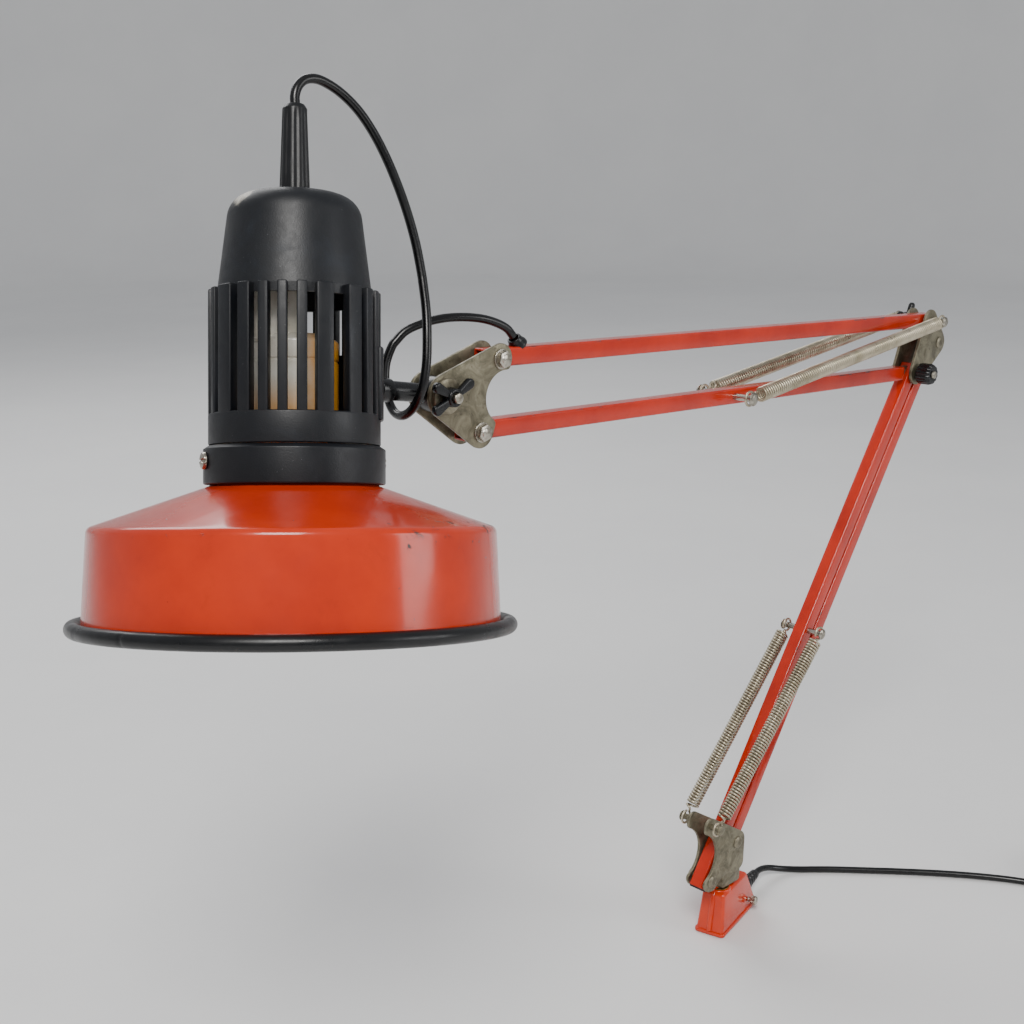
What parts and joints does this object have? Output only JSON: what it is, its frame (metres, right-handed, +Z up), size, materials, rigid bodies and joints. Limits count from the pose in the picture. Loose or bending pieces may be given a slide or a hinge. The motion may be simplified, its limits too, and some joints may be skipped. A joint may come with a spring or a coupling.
{
  "type": "spring-balanced bench lamp",
  "caption": "Spring-balanced bench lamp with two parallelogram arms, a vented black head and an orange enamel cone shade.",
  "frame": {"origin": "on the base swivel's axis, at the foot's underside", "axes": "+Z up along the base swivel, +X from the base towards the elbow, with the head towards -X and the arms in the XZ plane"},
  "size_m": [0.7702, 0.2641, 0.5479],
  "materials": {
    "enamel": "gloss orange stove enamel with small chips on the edges",
    "zinc": "dull olive-grey zinc plate",
    "spring": "bright drawn spring wire, slightly dulled",
    "bright": "worn nickel plate",
    "plastic": "satin blue-black moulding with scuffs",
    "rubber": "matt black rubber",
    "porcelain": "off-white glazed porcelain",
    "amber": "amber bulb glass",
    "bronze": "oiled bronze",
    "cord": "glossy black flexible sheath"
  },
  "bodies": {
    "foot": {"foot_casting": "enamel", "swivel_bush": "bronze", "swivel_lock_screw": "bright", "cord_boot": "rubber", "cord_tail": "cord", "cord_coil": "cord", "plug_body": "plastic", "plug_pin_a": "bright", "plug_pin_b": "bright"},
    "base_bracket": {"base_plate_near": "zinc", "base_plate_far": "zinc", "base_pivot_pin_rear": "zinc", "base_pivot_pin_front": "zinc", "swivel_post": "zinc"},
    "lower_tube_rear": {"lower_tube_rear": "enamel"},
    "lower_tube_front": {"lower_tube_front": "enamel", "lower_spring_pin": "bright"},
    "elbow": {"elbow_plate_near": "zinc", "elbow_plate_far": "zinc", "elbow_pivot_pin": "zinc", "elbow_top_bolt": "bright", "elbow_knob_bolt": "bright"},
    "upper_tube_top": {"upper_tube_top": "enamel", "flex_grommet": "rubber"},
    "upper_tube_bottom": {"upper_tube_bottom": "enamel", "upper_tube_tongue": "zinc", "upper_spring_pin": "bright"},
    "head_bracket": {"head_cheek_near": "zinc", "head_cheek_far": "zinc", "head_bolt_top": "bright", "head_bolt_bottom": "bright", "friction_washer_near": "zinc", "knuckle_bolt": "bright", "head_flex_c": "cord"},
    "head_knuckle": {"stem": "plastic", "head_flex_b": "cord"},
    "head": {"vent_housing": "plastic", "collar_ring": "plastic", "collar_screw_1": "zinc", "collar_screw_2": "zinc", "shade": "enamel", "rim_bead": "rubber", "lampholder": "porcelain", "bulb_cap": "bright", "bulb_glass": "amber", "cord_gland": "rubber", "head_flex_a": "cord"},
    "head_wing_nut": {"head_wing_nut": "plastic"},
    "elbow_knob": {"elbow_knob": "plastic"},
    "elbow_wing_nut": {"elbow_wing_nut": "plastic"},
    "lower_spring_root": {"lower_spring_near": "spring", "lower_spring_far": "spring"},
    "lower_spring_tip": {"lower_spring_hook_near": "spring", "lower_spring_hook_far": "spring"},
    "upper_spring_root": {"upper_spring_near": "spring", "upper_spring_far": "spring"},
    "upper_spring_tip": {"upper_spring_hook_near": "spring", "upper_spring_hook_far": "spring"}
  },
  "joints": [
    {"name": "base_swivel", "type": "hinge", "parent": "foot", "child": "base_bracket", "pos_m": [0, 0, 0], "axis": [0, 0, 1], "range_deg": [-165, 165]},
    {"name": "lower_arm_tilt", "type": "hinge", "parent": "base_bracket", "child": "lower_tube_rear", "pos_m": [0.008, 0, 0.062], "axis": [0, 1, 0], "range_deg": [-45, 2.5]},
    {"name": "lower_front_tube_tilt", "type": "hinge", "parent": "base_bracket", "child": "lower_tube_front", "pos_m": [-0.01924, 0, 0.04328], "axis": [0, 1, 0], "range_deg": [-45.1, 2.6]},
    {"name": "elbow_level", "type": "hinge", "parent": "lower_tube_rear", "child": "elbow", "pos_m": [0.22711, 0, 0.37492], "axis": [0, 1, 0], "range_deg": [-2.6, 45.1]},
    {"name": "upper_arm_tilt", "type": "hinge", "parent": "elbow", "child": "upper_tube_top", "pos_m": [0.21387, 0, 0.3917], "axis": [0, 1, 0], "range_deg": [-12, 35]},
    {"name": "upper_bottom_tube_tilt", "type": "hinge", "parent": "elbow", "child": "upper_tube_bottom", "pos_m": [0.19987, 0, 0.3562], "axis": [0, 1, 0], "range_deg": [-12.1, 35.1]},
    {"name": "head_bracket_level", "type": "hinge", "parent": "upper_tube_top", "child": "head_bracket", "pos_m": [-0.21314, 0, 0.41221], "axis": [0, 1, 0], "range_deg": [-35.1, 12.1], "deforming": ["head_flex_c"]},
    {"name": "head_tilt", "type": "hinge", "parent": "head_bracket", "child": "head_knuckle", "pos_m": [-0.25114, 0, 0.39821], "axis": [0, 1, 0], "range_deg": [-35, 60], "deforming": ["head_flex_b"]},
    {"name": "head_swivel", "type": "hinge", "parent": "head_knuckle", "child": "head", "pos_m": [-0.25114, 0, 0.39821], "axis": [-0.9826, 0, 0.1857], "range_deg": [-80, 80], "deforming": ["head_flex_a"]},
    {"name": "head_wing_nut_turn", "type": "hinge", "parent": "head_bracket", "child": "head_wing_nut", "pos_m": [-0.25114, 0, 0.39821], "axis": [0, 1, 0], "range_deg": [-170, 170]},
    {"name": "elbow_knob_turn", "type": "hinge", "parent": "elbow", "child": "elbow_knob", "pos_m": [0.19987, 0, 0.3562], "axis": [0, 1, 0], "range_deg": [-170, 170]},
    {"name": "elbow_wing_nut_turn", "type": "hinge", "parent": "elbow", "child": "elbow_wing_nut", "pos_m": [0.21387, 0, 0.3917], "axis": [0, 1, 0], "range_deg": [-170, 170]},
    {"name": "lower_spring_swing", "type": "hinge", "parent": "base_bracket", "child": "lower_spring_root", "pos_m": [-0.022, 0, 0.084], "axis": [0, 1, 0], "range_deg": [-56.2, 3.2], "deforming": ["lower_spring_near", "lower_spring_far"]},
    {"name": "lower_spring_stretch", "type": "slide", "parent": "lower_spring_root", "child": "lower_spring_tip", "axis": [0.7039, 0, 0.7103], "range_m": [-0.0136, 0.0009], "deforming": ["lower_spring_hook_near", "lower_spring_hook_far"]},
    {"name": "upper_spring_swing", "type": "hinge", "parent": "elbow", "child": "upper_spring_root", "pos_m": [0.21387, 0, 0.3917], "axis": [0, 1, 0], "range_deg": [-11.5, 33.4], "deforming": ["upper_spring_near", "upper_spring_far"]},
    {"name": "upper_spring_stretch", "type": "slide", "parent": "upper_spring_root", "child": "upper_spring_tip", "axis": [-0.9937, 0, -0.1122], "range_m": [-0.022, 0.0076], "deforming": ["upper_spring_hook_near", "upper_spring_hook_far"]}
  ],
  "couplings": [
    {"joint": "lower_front_tube_tilt", "follows": "lower_arm_tilt", "ratio": 1},
    {"joint": "elbow_level", "follows": "lower_arm_tilt", "ratio": -1},
    {"joint": "lower_spring_swing", "follows": "lower_arm_tilt", "ratio": 1.2458},
    {"joint": "lower_spring_stretch", "follows": "lower_arm_tilt", "m_per_rad": 0.0171},
    {"joint": "upper_bottom_tube_tilt", "follows": "upper_arm_tilt", "ratio": 1},
    {"joint": "head_bracket_level", "follows": "upper_arm_tilt", "ratio": -1},
    {"joint": "upper_spring_swing", "follows": "upper_arm_tilt", "ratio": 0.9498},
    {"joint": "upper_spring_stretch", "follows": "upper_arm_tilt", "m_per_rad": -0.0358}
  ]
}
